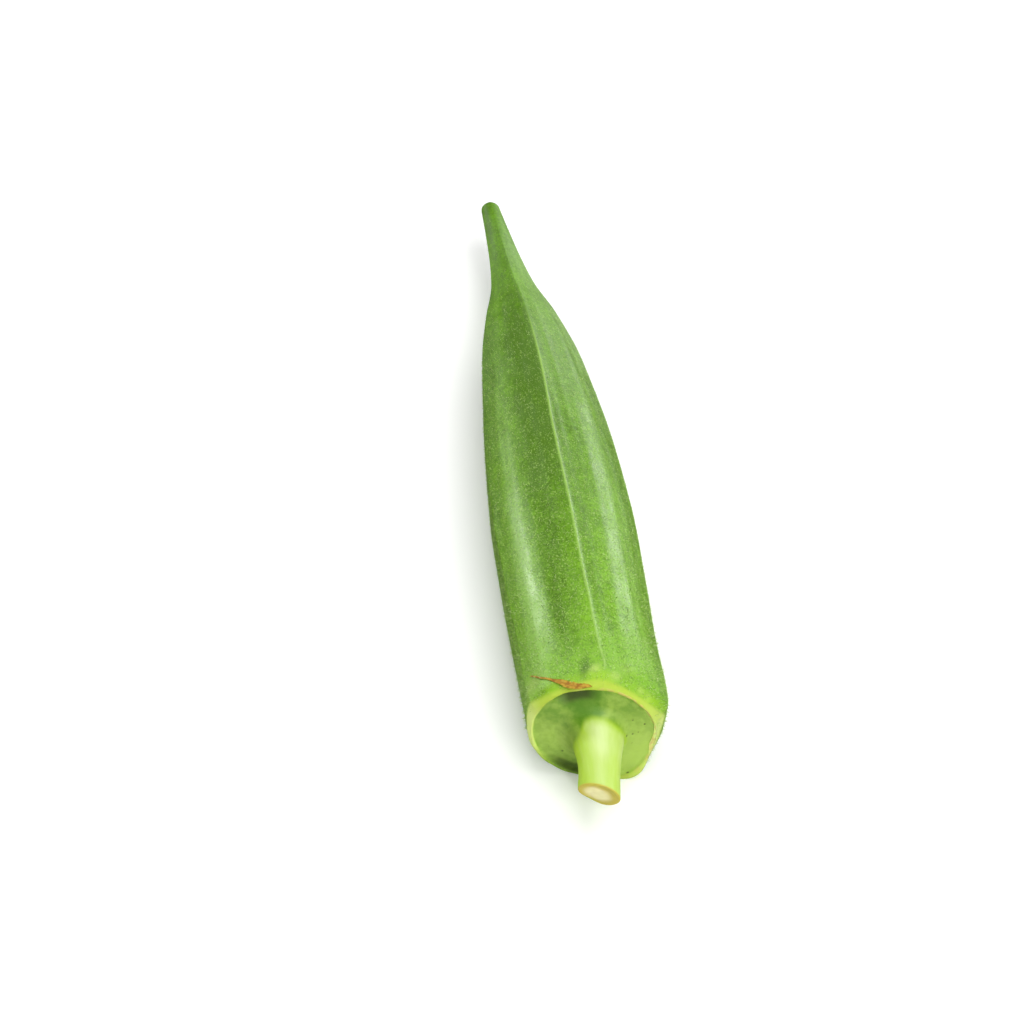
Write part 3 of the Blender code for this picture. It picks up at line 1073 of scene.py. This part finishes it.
@dataclass(frozen=True)
class SkinZones:
    """Where each zone of the skin's finish lies and how strong it is there, over reach unless it says."""

    crest_width: float = 0.15
    crest_span: Span = (1.8, 2.6, 66.0, 88.0)  # along
    crest_fade: Ease = (-2.4, -1.0)

    lip_starts: Curve = (
        (-180, -0.9), (-120, -0.9), (-95, -1.3), (-72, -1.8), (-52, -1.15), (-35, -0.9), (5, -1.25),
        (16, -1.2), (35, -1), (49, -1.1), (60, -1.4), (75, -2.1), (93, -3.3), (115, -3), (140, -1.5),
        (180, -0.9),
    )
    lip_ease: Ease = (-0.45, 0.40)  # from where the lip starts
    lip_fade: Ease = (0.12, 0.62)
    # the lip fades at the bottom, painted shade on the rim's underside
    lip_strength: Curve = (
        (-180, 0.3), (-165, 0.3), (-150, 0.3), (-140, 0.4), (-124, 0.55), (-108, 0.8), (-90, 1), (120, 1),
        (160, 0.8), (180, 0.3),
    )
    lip_cream: Curve = (
        (-180, 0), (-140, 0), (-105, 1), (-76, 1), (-52, 0.1), (20, 0), (50, 0.15), (78, 0.45), (92, 1),
        (106, 0.95), (125, 0.65), (160, 0.1), (180, 0),
    )
    glow_span: Span = (-1.9, -0.7, 0.0, 0.6)  # from where the lip starts
    glow_strength: Curve = (
        (-180, 0.1), (-80, 0.15), (-60, 0.15), (-38, 0.5), (-20, 0.55), (-10, 0.35), (2, 1), (12, 0.75),
        (22, 0.3), (42, 0.35), (55, 0.9), (68, 0.7), (84, 0.2), (180, 0.1),
    )
    tan_span: Span = (-0.35, -0.12, 0.3, 0.6)
    tan_strength: Curve = (
        (-180, 0), (-30, 0.2), (-5, 0.5), (20, 0.8), (45, 1), (100, 0.9), (150, 0.2), (180, 0),
    )
    # painted shadow under the lip's overhanging top and in the low gap at the bottom
    gap_shadow_strength: float = 0.84
    gap_shadow_span: Span = (0.1, 0.4, 2.5, 3.5)
    gap_shadow_around: Span = (-44.0, -26.0, -10.0, 8.0)
    low_gap_shadow_share: float = 0.8
    low_gap_shadow_span: Span = (0.0, 0.5, 1.3, 2.4)
    low_gap_shadow_around: Span = (-180.0, -162.0, -152.0, -124.0)

    cap_ease: Ease = (0.12, 0.57)
    # how light the cap is round it: its own shades with painted shade, darkest under the lip's top
    cap_tone_and_shade: Curve = (
        (-180, 0.4), (-135, 0.6), (-110, 0.68), (-80, 0.66), (-61, 0.4), (-47, 0.45), (-24, 0.02),
        (2, 0.1), (26, 0.6), (43, 0.45), (62, 0.62), (85, 0.78), (104, 1), (145, 0.95), (180, 0.5),
    )
    stem_starts: Curve = (
        (-180, 5.6), (-127, 7.2), (-54, 7.2), (-20, 5.7), (0, 5.4), (40, 5.6), (65, 5.5), (90, 4.9),
        (118, 4.3), (150, 4.8), (180, 5.6),
    )
    stem_ease: Ease = (-0.4, 0.7)  # from where the stem starts
    # painted highlight round the stem, strongest near its top
    stem_highlight_curve: Curve = (
        (-180, 0.2), (-90, 0), (-40, 0.1), (-18, 0.6), (5, 1), (28, 0.62), (50, 0.4), (90, 0.6),
        (120, 0.5), (180, 0.2),
    )
    stem_highlight_ease: Ease = (5.2, 7.2)
    # the painted highlight dims towards the cut
    stem_dims: Ease = (9.0, 12.5)
    stem_dimming: float = 0.45
    cut_ease: Ease = (14.75, 15.0)
    pith_ease: Ease = (15.25, 16.35)
    rind_more: float = 0.6
    rind_around: float = 55.0
    rind_spread: float = 75.0

    tone_stations: tuple[float, ...] = (4, 13, 50, 75, 87, 96, 106)
    tones: tuple[Curve, ...] = (
        (
            (-180, 0.6), (-78, 0.85), (-60, 1.02), (-47, 1.05), (-36, 0.9), (-26, 0.76), (-12, 0.98),
            (3, 1.05), (20, 1.05), (50, 0.98), (70, 0.75), (90, 0.6), (180, 0.7),
        ),
        (
            (-180, 0.6), (-75, 0.76), (-60, 0.88), (-47, 1.12), (-36, 0.66), (-27, 0.28), (-13, 0.68),
            (-4, 0.88), (3, 0.66), (20, 0.82), (42, 0.88), (58, 0.73), (78, 0.57), (180, 0.6),
        ),
        (
            (-180, 0.45), (-78, 0.4), (-62, 0.46), (-46, 0.66), (-30, 0.3), (-16, -0.1), (-3, 0.02),
            (3, 0.35), (20, 0.45), (44, 0.65), (58, 0.42), (78, 0.5), (180, 0.45),
        ),
        (
            (-180, 0.35), (-80, 0.25), (-60, 0.32), (-45, 0.44), (-30, 0.08), (-15, -0.12), (-2.5, 0.02),
            (2.5, 0.45), (45, 0.55), (80, 0.55), (180, 0.35),
        ),
        (
            (-180, 0.45), (-80, 0.32), (-60, 0.48), (-45, 0.6), (-30, 0.32), (-15, 0.22), (-2.5, 0.34),
            (2.5, 0.66), (45, 0.66), (80, 0.7), (180, 0.45),
        ),
        (
            (-180, 0.45), (-75, 0.6), (-45, 0.46), (-15, 0.38), (-3, 0.44), (3, 0.66), (45, 0.8),
            (80, 0.8), (180, 0.45),
        ),
        (
            (-180, 0.35), (-75, 0.5), (-60, 0.38), (-42, 0.24), (-15, 0.36), (-3, 0.4), (3, 0.44),
            (45, 0.56), (80, 0.65), (180, 0.35),
        ),
    )  # how light the skin is round the pod, seen from the top crest, at each station along it; partly painted shade, as in the darker valleys and flanks
    tone_shift: float = -0.08
    # the skin's waxy bloom with painted sheen on the right face towards the tip
    sheen_haze_along: Span = (48.0, 86.0, 100.0, 112.0)
    sheen_haze_around: Span = (-8.0, 12.0, 75.0, 125.0)
    sheen_haze_strength: float = 0.28
    sheen_haze_more: float = 0.25
    sheen_haze_rises: Ease = (45.0, 75.0)  # around
    # painted highlight along the left rib
    rib_highlight_strength: float = 0.15
    rib_highlight_along: Span = (8.0, 16.0, 26.0, 44.0)
    rib_highlight_around: float = -46.0
    rib_highlight_spread: float = 8.0
    dull_span: Span = (-14.0, -3.5, 4.4, 6.0)
    far_ease: Ease = (44.0, 94.0)  # along

    specks: tuple[tuple[float, float, float], ...] = (
        (90, 4.9, 0.26), (91.5, 3.8, 0.2), (88.6, 3, 0.16), (77.4, 1.9, 0.22), (102.3, -0.6, 0.36),
        (147.2, 0.5, 0.28), (111, 3.5, 0.15), (-132.5, 3.6, 0.22), (-117.8, 2.4, 0.14), (66, 3.3, 0.13),
    )  # (around, reach, radius) of the small dark specks on the cap
    speck_strength: float = 0.85
    speck_edge: Ease = (0.36, 0.96)  # shares of a speck's radius over which it fades
    glint_spots: tuple[tuple[float, float, float, float], ...] = (
        (-0.7, -2.95, 0.75, 0.4), (17, -2.2, 0.75, 0.3), (43.5, -1.9, 0.6, 0.38), (54, -1.75, 0.9, 0.22),
        (24, -3.6, 1.2, 0.13), (-60, -3.9, 1.9, 0.26), (92, -2.7, 1, 0.9),
    )  # (around, reach, radius, strength) of the painted glints just above the rim
    glint_squash: float = 1.3
    painted_shade_spots: tuple[tuple[float, float, float, float, float], ...] = (
        (-9.3, -3, 0.65, 1.9, 0.8), (-46, -1.75, 1.2, 0.5, 0.6),
    )  # (around, reach, half-sizes across and along, strength) of the painted shade spots above the rim

    def rim(self, places: Places) -> dict[str, Array]:
        """Weights of the lip, its glow and tan, the painted glints just above it, and the painted shadow in
        the gaps inside it.

        Args:
            places: places on the skin.

        Returns:
            One weight for each place, under each zone's name.
        """
        reach, side = places.reach, turn_between(places.around, 0.0)
        past = reach - on_curve(self.lip_starts, side)
        lip = ease_in(past, *self.lip_ease) * ease_out(reach, *self.lip_fade)
        lip = lip * on_curve(self.lip_strength, side)
        pale = lip * on_curve(self.lip_cream, side)
        # painted glints just above the rim
        for angle, out, size, share in self.glint_spots:
            apart = np.hypot(places.sideways(angle), self.glint_squash * (reach - out))
            pale = np.maximum(pale, share * bell(apart, size))
        # painted shadow under the lip
        gap_shadow = window(reach, *self.gap_shadow_span) * window(side, *self.gap_shadow_around)
        low_gap_shadow = window(reach, *self.low_gap_shadow_span) * window(side, *self.low_gap_shadow_around)
        return {
            "glow": window(past, *self.glow_span) * on_curve(self.glow_strength, side),
            "lip": lip,
            "lip_pale_and_glints": pale,
            "tan": window(reach, *self.tan_span) * on_curve(self.tan_strength, side),
            "gap_shadow": np.maximum(gap_shadow, self.low_gap_shadow_share * low_gap_shadow) * self.gap_shadow_strength,
        }

    def end(self, places: Places) -> dict[str, Array]:
        """Weights of the cap with its painted shade, the stem with its painted highlight, its cut and the
        specks.

        Args:
            places: places on the skin.

        Returns:
            One weight for each place, under each zone's name.
        """
        reach, side = places.reach, turn_between(places.around, 0.0)
        # painted highlight down the stem
        stem_highlight = on_curve(self.stem_highlight_curve, side) * ease_in(reach, *self.stem_highlight_ease)
        rind = self.rind_more * bell(turn_between(places.around, self.rind_around), self.rind_spread)
        speck = np.zeros_like(reach)
        for angle, out, size in self.specks:
            apart = np.hypot(places.sideways(angle), reach - out)
            speck = np.maximum(speck, ease_out(apart / size, *self.speck_edge))
        return {
            "cap": ease_in(reach, *self.cap_ease),
            # cap's own shades with painted shade under the lip
            "cap_light": on_curve(self.cap_tone_and_shade, side),
            "stem": ease_in(reach - on_curve(self.stem_starts, side), *self.stem_ease),
            "stem_highlight": stem_highlight * (1.0 - self.stem_dimming * ease_in(reach, *self.stem_dims)),
            "cut": ease_in(reach, *self.cut_ease),
            "pith": ease_in(reach - rind, *self.pith_ease),
            "speck": speck * self.speck_strength,
        }

    def tone_and_shade(self, form: PodForm, places: Places) -> Array:
        """How light the body's green is, partly the skin's own shades and partly painted shade: curves round
        the pod, blended from station to station, less the painted shade spots above the rim.

        Args:
            form: the pod's form.
            places: places on the skin.

        Returns:
            One tone for each place.
        """
        from_top = turn_between(places.around, form.twist(places.along))
        tones = np.stack([on_curve(curve, from_top) for curve in self.tones])
        station = np.arange(len(self.tones))
        near = np.abs(np.interp(places.along, self.tone_stations, station) - station[:, None, None])
        tone_and_shade = (tones * np.clip(1.0 - near, 0.0, 1.0)).sum(axis=0) + self.tone_shift
        # painted shade spots above the rim
        for angle, out, wide, long, share in self.painted_shade_spots:
            tone_and_shade = tone_and_shade - share * bell(places.sideways(angle), wide) * bell(places.reach - out, long)
        return tone_and_shade

    def weights(self, form: PodForm, places: Places) -> dict[str, Array]:
        """Weights of all the zones of the skin, for its finish.

        Args:
            form: the pod's form.
            places: places on the skin.

        Returns:
            One weight for each place, under each zone's name.
        """
        along, around, reach = places.along, places.around, places.reach
        side = turn_between(around, 0.0)
        apart = np.radians(form.from_crest(places)) * places.radius
        # crest line weight: paler skin with a painted glint
        crest = bell(apart, self.crest_width) * window(along, *self.crest_span)
        crest = crest * ease_out(reach, *self.crest_fade) * form.crest_strength(places)
        # waxy bloom with painted sheen, plus the painted highlight along the left rib
        sheen_haze = self.sheen_haze_strength + self.sheen_haze_more * ease_in(side, *self.sheen_haze_rises)
        sheen_haze = window(along, *self.sheen_haze_along) * window(side, *self.sheen_haze_around) * sheen_haze
        # painted highlight along the left rib
        rib_highlight = bell(turn_between(around, self.rib_highlight_around), self.rib_highlight_spread)
        rib_highlight = self.rib_highlight_strength * rib_highlight * window(along, *self.rib_highlight_along)
        body = {
            "crest": crest,
            "tone_and_shade": self.tone_and_shade(form, places),
            "sheen_haze": sheen_haze + rib_highlight,
            "dull": window(reach, *self.dull_span),
            "far": ease_in(along, *self.far_ease),
        }
        return body | self.rim(places) | self.end(places)


# ---------------------------------------------------------------------------------------------------
# The pieces


@dataclass
class PodSkin:
    """The pod's whole skin, from the tip to the middle of the stem's cut."""

    form: PodForm = PodForm()
    relief: Relief = Relief()
    zones: SkinZones = SkinZones()
    finish: SkinFinish = SkinFinish()
    places: Places = field(init=False)
    shift: Array = field(init=False)
    points: Array = field(init=False)
    normals: Array = field(init=False)

    def __post_init__(self) -> None:
        """Work out every point: the plain skin plus the relief along its normals, moved into the frame."""
        self.places = self.form.places()
        plain = self.form.skin(self.places)
        low, high = (np.array(corner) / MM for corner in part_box(POD_NODE))
        middle = (low + high) / 2.0
        own_middle = (plain.min(axis=(0, 1)) + plain.max(axis=(0, 1))) / 2.0
        self.shift = middle - own_middle
        self.shift[2] = low[2]
        lifted = plain + outward_normals(plain) * self.relief.heights(self.form, self.places)[..., None]
        lifted[..., 2] = np.maximum(lifted[..., 2], 0.0)
        self.points = lifted + self.shift
        self.normals = outward_normals(self.points)

    def build(self) -> bpy.types.Object:
        """Make the skin's mesh and dress it.

        Returns:
            The skin.
        """
        at_tip = Places(np.array([self.form.tip_along]), *np.zeros((3, 1)))
        tip = self.form.skin(at_tip)[0] + self.shift
        heart = self.points[-1].mean(axis=0)
        mesh = closed_skin("pod_skin", self.points * MM, (tip * MM, heart * MM))
        add_ring_weights(mesh, self.zones.weights(self.form, self.places))
        piece = new_piece("pod_skin", mesh, self.finish.material())
        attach(piece, "root")
        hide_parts(POD_NODE)
        return piece


@dataclass
class SkinHairs:
    """Short stiff hairs scattered over the body and shoulder, each a slim three-sided spike."""

    skin: PodSkin
    finish: HairFinish = HairFinish()
    count: int = 26000
    shortest: float = 0.15
    longest: float = 0.60
    near_end_from: float = -12.0  # reach from which hairs grow to their full length, over the ease
    near_end_ease: float = 30.0
    thickness: float = 0.026
    lean: float = 0.75
    straighten: float = 0.25
    sunk: float = 0.02
    rim_fade: Ease = (-1.6, -0.9)
    tip_fade: Ease = (68.0, 98.0)  # along
    tip_share: float = 0.12
    seed: int = 11

    def roots(self, draw: np.random.Generator) -> tuple[Array, Array, Array]:
        """Scatter the roots evenly over the skin's area, fewer towards the tip.

        Args:
            draw: the source of random numbers.

        Returns:
            The roots' points, the skin's normals there, and their reach.
        """
        points, normals, places = self.skin.points, self.skin.normals, self.skin.places
        onward = np.diff(points, axis=0)
        across = np.roll(points, -1, axis=1) - points
        area = np.linalg.norm(np.cross(onward, across[:-1]), axis=-1)
        growth = self.tip_share + (1.0 - self.tip_share) * ease_out(places.along[:-1], *self.tip_fade)
        wanted = area * ease_out(places.reach[:-1], *self.rim_fade) * growth
        picked = draw.choice(wanted.size, self.count, p=(wanted / wanted.sum()).ravel())
        row, column = np.unravel_index(picked, wanted.shape)
        beside = (column + 1) % points.shape[1]
        down, over = draw.random((2, self.count, 1))

        def inside(values: Array) -> Array:
            """Value at each root, between the four corners of its cell.

            Args:
                values: the value at each point of the skin.

            Returns:
                One value for each root.
            """
            near = values[row, column] * (1.0 - over) + values[row, beside] * over
            far = values[row + 1, column] * (1.0 - over) + values[row + 1, beside] * over
            return near * (1.0 - down) + far * down

        return inside(points), inside(normals), places.reach[row, column]

    def spikes(self) -> Array:
        """Corners of all the hairs: three round each root, and the point.

        Returns:
            Points in millimetres, hairs by 4 by 3.
        """
        draw = np.random.default_rng(self.seed)
        root, normal, reach = self.roots(draw)
        way = normal + draw.normal(0.0, self.lean, root.shape)
        way = way / np.linalg.norm(way, axis=1, keepdims=True)
        way = way + normal * self.straighten
        near_end = smooth_step(1.0 + (reach[:, None] - self.near_end_from) / self.near_end_ease)
        length = draw.uniform(self.shortest, self.longest, (self.count, 1)) * (0.5 + 0.5 * near_end)
        side = np.cross(way, draw.normal(0.0, 1.0, root.shape))
        side = side / np.linalg.norm(side, axis=1, keepdims=True)
        other = np.cross(way, side)
        foot = root - normal * self.sunk
        turns = [math.tau * corner / 3 for corner in range(3)]
        ring = [foot + self.thickness * (side * math.cos(turn) + other * math.sin(turn)) for turn in turns]
        corners = np.stack([*ring, root + way * length], axis=1)
        corners[..., 2] = np.maximum(corners[..., 2], 0.0)
        return corners

    def build(self) -> bpy.types.Object:
        """Make the hairs in one mesh and dress it.

        Returns:
            The hairs.
        """
        first = np.arange(self.count)[:, None] * 4
        spike = ((0, 1, 3), (1, 2, 3), (2, 0, 3), (0, 2, 1))
        faces = np.concatenate([first + np.array(face) for face in spike])
        mesh = new_mesh("skin_hairs", self.spikes().reshape(-1, 3) * MM, faces.tolist())
        add_weight(mesh, "tip", np.tile([0.0, 0.0, 0.0, 1.0], self.count))
        piece = new_piece("skin_hairs", mesh, self.finish.material())
        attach(piece, "root")
        return piece


@dataclass
class CalyxShred:
    """Dried shred of calyx on the shoulder: a curled, ragged strip that ends in a thin thread."""

    skin: PodSkin
    finish: DriedCalyxFinish = DriedCalyxFinish()
    route: tuple[tuple[float, float, float, float], ...] = (
        (5.1, -60, 0.08, 0.08), (3.3, -49, 0.11, 0.12), (2, -38, 0.17, 0.1), (1.05, -28, 0.42, 0.1),
        (0.45, -20, 0.58, 0.1), (-0.02, -11, 0.5, 0.1), (-0.15, -1.5, 0.14, 0.1),
    )  # (along, around, half its width, lift off the skin), from the thread's end to the rim
    stations: int = 120
    sides: int = 20
    half_thickness: float = 0.09
    flatness: float = 0.6
    curl: float = 0.30
    ragged: Waves = ((0.07, 47.0, 0.0), (0.05, 101.0, 1.0))
    taper: float = 30.0
    end_width: float = 0.15
    wander: Waves = ((0.08, 11.0, 0.0), (0.03, 31.0, 2.0))
    crinkle: Waves = ((0.03, 47.0, 0.0),)
    arches: Waves = ((0.08, 9.0, 0.0),)
    fold_strength: float = 0.7
    fold_width: float = 0.12
    fold_span: Span = (0.3, 0.5, 0.8, 0.9)

    def line(self, at: Array) -> tuple[Array, Array, Array, Array, Array]:
        """Middle line of the shred over the skin.

        Args:
            at: shares of the way from the thread's end to the rim.

        Returns:
            Points on the skin, the directions outward and across, half the width, and the lift.
        """
        form, rows = self.skin.form, self.skin.places
        route = np.array(self.route)
        along, around, half_width, lift = smooth_through(np.linspace(0.0, 1.0, len(route)), route, at).T
        radius = on_curve(form.body + form.shoulder + form.rim[:1], along)
        outer = rows.reach[:, 0] < 0.0
        reach = np.interp(-along, -rows.along[outer, 0], rows.reach[outer, 0])
        places = Places(along, around, radius, reach)
        lift = lift + self.skin.relief.heights(form, places)
        on_skin = form.skin(places)
        outward = unit(form.skin(replace(places, radius=radius + 1.0)) - on_skin)
        across = unit(np.cross(np.gradient(on_skin, axis=0), outward))
        ends = np.clip(np.minimum(at, 1.0 - at) * self.taper, self.end_width, 1.0)
        return on_skin, outward, across, half_width * (1.0 + waves(self.ragged, at)) * ends, lift

    def build(self) -> bpy.types.Object:
        """Make the shred and dress it.

        A flat oval section is carried along the route, across and outward from the skin; its edges curl
        up with the square of the distance from its middle, and its width is ragged.

        Returns:
            The shred.
        """
        at = np.linspace(0.0, 1.0, self.stations)[:, None]
        on_skin, outward, across, half_width, lift = self.line(at[:, 0])
        turn = np.arange(self.sides)[None, :] * math.tau / self.sides
        out = np.cos(turn) * half_width[:, None]
        oval = self.flatness + (1.0 - self.flatness) * np.cos(turn * 2.0)
        rise = self.half_thickness * np.sin(turn) * oval + lift[:, None] + self.curl * out**2
        rise = rise + waves(self.crinkle, at) * np.cos(turn) + np.abs(waves(self.arches, at))
        rings = on_skin[:, None, :] + across[:, None, :] * (out + waves(self.wander, at))[..., None]
        rings = rings + outward[:, None, :] * rise[..., None] + self.skin.shift
        poles = (rings[0].mean(axis=0) * MM, rings[-1].mean(axis=0) * MM)
        mesh = closed_skin("calyx_shred", rings * MM, poles)
        fold = bell(out, self.fold_width) * window(at, *self.fold_span) * self.fold_strength
        add_ring_weights(mesh, {"fold": fold})
        piece = new_piece("calyx_shred", mesh, self.finish.material())
        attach(piece, "root")
        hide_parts(SHRED_NODE)
        return piece


# ---------------------------------------------------------------------------------------------------
# The studio


class Lamp(Enum):
    """The studio's soft lamps."""

    TOP = "top_softbox"
    RIGHT = "right_back_softbox"
    LEFT = "left_back_softbox"
    FRONT = "front_fill"


@dataclass(frozen=True)
class LampSetting:
    """Where a soft lamp stands, seen from the pod, and how strong and large it is."""

    lamp: Lamp
    azimuth: float
    elevation: float
    distance: float
    width: float
    height: float
    watts: float


@dataclass
class Studio:
    """Pale table, soft lamps and the camera, all placed round the pod."""

    finish: FloorFinish = FloorFinish()
    table_side: float = 6.0
    table_segments: int = 12
    camera_azimuth: float = -6.6
    camera_elevation: float = 43.0
    camera_distance: float = 0.48373
    lens: float = 120.0
    nearest: float = 0.01
    aim: tuple[float, float, float] = (-5.75, 43.71, 8.3)  # millimetres, in the pod form's own axes
    room_colour: Colour = (1.0, 1.0, 1.0)
    room_span: Span = (-0.05, 0.45, 0.02, 0.12)  # upward part of a direction, then the room's strength
    lamps: tuple[LampSetting, ...] = (
        LampSetting(Lamp.TOP, 80.0, 78.0, 0.90, 0.80, 0.80, 6.6),
        LampSetting(Lamp.RIGHT, 130.0, 11.6, 0.80, 0.50, 0.26, 2.5),
        LampSetting(Lamp.LEFT, -127.0, 22.9, 0.80, 0.12, 0.12, 2.8),
        LampSetting(Lamp.FRONT, 14.0, 36.0, 0.90, 0.50, 0.50, 4.6),
    )

    @staticmethod
    def direction(azimuth: float, elevation: float) -> Array:
        """Unit vector from the pod: azimuth 0 is -Y and 90 is +X, elevation is above the table."""
        turn, tilt = math.radians(azimuth), math.radians(elevation)
        return np.array([math.sin(turn) * math.cos(tilt), -math.cos(turn) * math.cos(tilt), math.sin(tilt)])

    @staticmethod
    def stand(thing: bpy.types.Object, place: Array, away: Array) -> None:
        """Put a lamp or the camera in its place, looking back along a direction.

        Args:
            thing: the lamp or the camera.
            place: where it goes, in metres.
            away: the direction from what it looks at.
        """
        thing.location = place
        thing.rotation_euler = Vector(away).to_track_quat("Z", "Y").to_euler()
        bpy.context.scene.collection.objects.link(thing)

    def build_table(self) -> bpy.types.Object:
        """Make the tabletop, a flat grid at the height that the pod lies on.

        Returns:
            The table.
        """
        line = np.linspace(-0.5, 0.5, self.table_segments + 1) * self.table_side
        x, y = np.meshgrid(line, line, indexing="ij")
        points = np.stack([x, y, np.zeros_like(x)], axis=-1).reshape(-1, 3)
        faces = grid_faces(line.size, line.size, closed=False)
        table = new_piece("table", new_mesh("table", points, faces.tolist()), self.finish.material())
        table.visible_glossy = False
        return table

    def build_lamp(self, setting: LampSetting, target: Array) -> bpy.types.Object:
        """Make one area lamp.

        Args:
            setting: which lamp, where it stands, its strength and its size.
            target: the point in metres that it faces.

        Returns:
            The lamp.
        """
        data = bpy.data.lights.new(setting.lamp.value, "AREA")
        data.shape = "RECTANGLE"
        data.size = setting.width
        data.size_y = setting.height
        data.energy = setting.watts
        lamp = bpy.data.objects.new(setting.lamp.value, data)
        away = self.direction(setting.azimuth, setting.elevation)
        self.stand(lamp, target + away * setting.distance, away)
        return lamp

    def build_camera(self, shift: Array) -> bpy.types.Object:
        """Make the camera, which looks down the pod from its stem end.

        Args:
            shift: from the pod form's own axes to the frame, in millimetres.

        Returns:
            The scene's camera.
        """
        data = bpy.data.cameras.new("camera")
        data.lens = self.lens
        data.clip_start = self.nearest
        camera = bpy.data.objects.new("camera", data)
        away = self.direction(self.camera_azimuth, self.camera_elevation)
        self.stand(camera, (np.array(self.aim) + shift) * MM + away * self.camera_distance, away)
        bpy.context.scene.camera = camera
        return camera

    def build_room(self) -> None:
        """Light the room softly from above, with a dim surrounding below the table's edge."""
        world = bpy.data.worlds.new("room")
        world.use_nodes = True
        nodes, links = world.node_tree.nodes, world.node_tree.links
        split = nodes.new("ShaderNodeSeparateXYZ")
        links.new(nodes.new("ShaderNodeTexCoord").outputs["Generated"], split.inputs["Vector"])
        fade = nodes.new("ShaderNodeMapRange")
        fade.interpolation_type = "SMOOTHSTEP"
        for socket, number in zip(fade.inputs[1:5], self.room_span):
            socket.default_value = number
        links.new(split.outputs["Z"], fade.inputs["Value"])
        background = nodes["Background"]
        background.inputs["Color"].default_value = (*self.room_colour, 1.0)
        links.new(fade.outputs["Result"], background.inputs["Strength"])
        bpy.context.scene.world = world
        bpy.context.scene.view_settings.view_transform = "Standard"

    def build(self, shift: Array) -> None:
        """Set up the table, lamps, room and camera.

        Args:
            shift: from the pod form's own axes to the frame, in millimetres.
        """
        self.build_table()
        low, high = (np.array(corner) for corner in CAD_BOUNDS)
        for setting in self.lamps:
            self.build_lamp(setting, (low + high) / 2.0)
        self.build_room()
        self.build_camera(shift)


def report(piece: bpy.types.Object) -> None:
    """Log a piece's size and its number of triangles.

    Args:
        piece: one of the pod's pieces.
    """
    piece.data.calc_loop_triangles()
    size = " x ".join(f"{length / MM:.1f}" for length in piece.dimensions)
    log.info("%s: %s mm, %d triangles", piece.name, size, len(piece.data.loop_triangles))


def main() -> None:
    """Build the pod's skin, hairs and shred, then the studio round them."""
    logging.basicConfig(level=logging.INFO, format="%(name)s: %(message)s")
    skin = PodSkin()
    pieces = [skin.build(), SkinHairs(skin).build(), CalyxShred(skin).build()]
    Studio().build(skin.shift)
    bpy.context.view_layer.update()
    for piece in pieces:
        report(piece)


if __name__ == "__main__":
    main()
